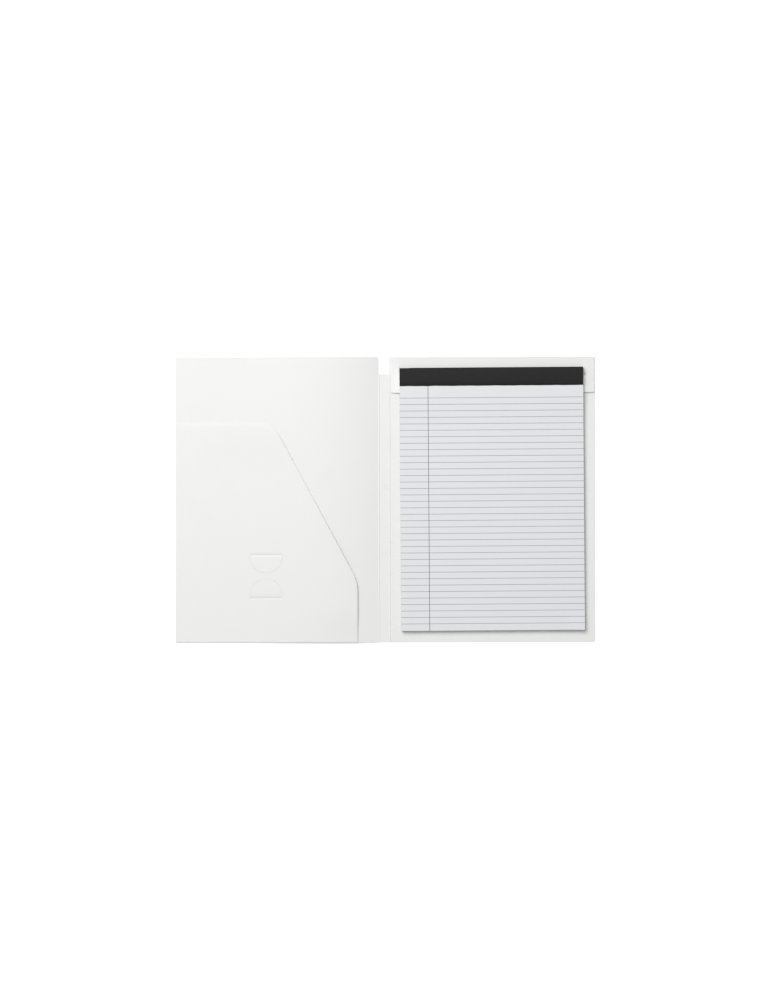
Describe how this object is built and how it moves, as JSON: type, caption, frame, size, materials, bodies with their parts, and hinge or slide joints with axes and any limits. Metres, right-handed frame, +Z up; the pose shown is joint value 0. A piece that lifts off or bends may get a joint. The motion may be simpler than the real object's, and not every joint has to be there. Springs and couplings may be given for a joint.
{
  "type": "document folder",
  "caption": "White card folder lying open, with a pocket inside the front cover and a taped, ruled writing pad held in a slotted flap of the back cover.",
  "frame": {"origin": "on the table, under the middle of the open folder", "axes": "+X from the front cover to the back cover, +Y to the head of the pad, +Z up from the table"},
  "size_m": [0.4766, 0.324, 0.0075],
  "materials": {
    "folder_card": "smooth white solid board with a faint satin",
    "writing_paper": "uncoated white paper with fine grey ruling",
    "grey_board": "uncoated grey chipboard",
    "black_tape": "matt black binding tape with a fine grain"
  },
  "bodies": {
    "back_cover": {"back_cover": "folder_card", "pad_sheets": "writing_paper", "backing_board": "grey_board", "binding_tape": "black_tape"},
    "spine": {"spine": "folder_card"},
    "front_cover": {"front_cover": "folder_card"}
  },
  "joints": [
    {"name": "spine_fold", "type": "hinge", "parent": "back_cover", "child": "spine", "pos_m": [0.00525, 0, 0.0005], "axis": [0, 1, 0], "range_deg": [0, 90]},
    {"name": "cover_fold", "type": "hinge", "parent": "spine", "child": "front_cover", "pos_m": [-0.00725, 0, 0.0005], "axis": [0, 1, 0], "range_deg": [0, 90]}
  ]
}
